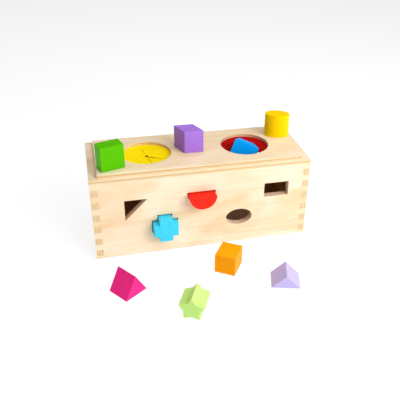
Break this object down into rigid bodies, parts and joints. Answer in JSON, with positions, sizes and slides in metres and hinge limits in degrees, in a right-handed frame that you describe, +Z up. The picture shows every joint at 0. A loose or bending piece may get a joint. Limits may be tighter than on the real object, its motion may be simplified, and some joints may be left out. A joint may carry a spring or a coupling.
{
  "type": "shape sorter",
  "caption": "Long plywood toy box with finger-jointed corners, shape holes front and back, a lift-off lid with two slit elastic openings, and loose painted blocks.",
  "frame": {"origin": "centre of the case's underside, on the floor", "axes": "+Z up, +X along the case to the right seen from the front, -Y out of the front wall"},
  "size_m": [0.3, 0.266, 0.16],
  "materials": {
    "wall_plywood": "satin clear-coated birch plywood",
    "lid_plywood": "satin clear-coated birch plywood",
    "batten_wood": "sanded",
    "yellow_elastic": "matte stretched elastic sheet",
    "red_elastic": "matte stretched elastic sheet",
    "green_paint": "satin painted hardwood",
    "purple_paint": "satin painted hardwood",
    "yellow_paint": "satin painted hardwood",
    "blue_paint": "satin painted hardwood",
    "cyan_paint": "satin painted hardwood",
    "red_paint": "satin painted hardwood",
    "pink_paint": "satin painted hardwood",
    "lime_paint": "satin painted hardwood",
    "orange_paint": "satin painted hardwood",
    "lilac_paint": "satin painted hardwood"
  },
  "bodies": {
    "case": {"front_panel": "wall_plywood", "back_panel": "wall_plywood", "left_end_panel": "wall_plywood", "right_end_panel": "wall_plywood", "base_panel": "wall_plywood"},
    "lid": {"lid_board": "lid_plywood", "lid_top_panel": "lid_plywood", "yellow_membrane": "yellow_elastic", "red_membrane": "red_elastic", "left_lid_batten": "batten_wood", "right_lid_batten": "batten_wood"},
    "green_rectangle": {"green_rectangle_block": "green_paint"},
    "purple_rhombus": {"purple_rhombus_block": "purple_paint"},
    "yellow_ellipse": {"yellow_ellipse_block": "yellow_paint"},
    "blue_trapezoid": {"blue_trapezoid_block": "blue_paint"},
    "cyan_cross": {"cyan_cross_block": "cyan_paint"},
    "red_half_round": {"red_half_round_block": "red_paint"},
    "pink_triangle": {"pink_triangle_block": "pink_paint"},
    "lime_star": {"lime_star_block": "lime_paint"},
    "orange_square": {"orange_square_block": "orange_paint"},
    "lilac_right_triangle": {"lilac_right_triangle_block": "lilac_paint"}
  },
  "joints": [
    {"name": "lid_lift", "type": "slide", "parent": "case", "child": "lid", "axis": [0, 0, 1], "range_m": [0, 0.15]},
    {"name": "green_rectangle_lift", "type": "slide", "parent": "lid", "child": "green_rectangle", "axis": [0, 0, 1], "range_m": [0, 0.1]},
    {"name": "purple_rhombus_lift", "type": "slide", "parent": "lid", "child": "purple_rhombus", "axis": [0, 0, 1], "range_m": [0, 0.1]},
    {"name": "yellow_ellipse_lift", "type": "slide", "parent": "lid", "child": "yellow_ellipse", "axis": [0, 0, 1], "range_m": [0, 0.1]},
    {"name": "blue_trapezoid_push", "type": "slide", "parent": "lid", "child": "blue_trapezoid", "axis": [0.4131, 0.1405, 0.8998], "range_m": [-0.02, 0.05]},
    {"name": "cyan_cross_post", "type": "slide", "parent": "case", "child": "cyan_cross", "axis": [0, -1, 0], "range_m": [-0.025, 0.03]},
    {"name": "red_half_round_post", "type": "slide", "parent": "case", "child": "red_half_round", "axis": [0, -1, 0], "range_m": [-0.025, 0.03]},
    {"name": "pink_triangle_lift", "type": "slide", "parent": "case", "child": "pink_triangle", "axis": [0, 0, 1], "range_m": [0, 0.1]},
    {"name": "lime_star_lift", "type": "slide", "parent": "case", "child": "lime_star", "axis": [0, 0, 1], "range_m": [0, 0.1]},
    {"name": "orange_square_lift", "type": "slide", "parent": "case", "child": "orange_square", "axis": [0, 0, 1], "range_m": [0, 0.1]},
    {"name": "lilac_right_triangle_lift", "type": "slide", "parent": "case", "child": "lilac_right_triangle", "axis": [0, 0, 1], "range_m": [0, 0.1]}
  ]
}
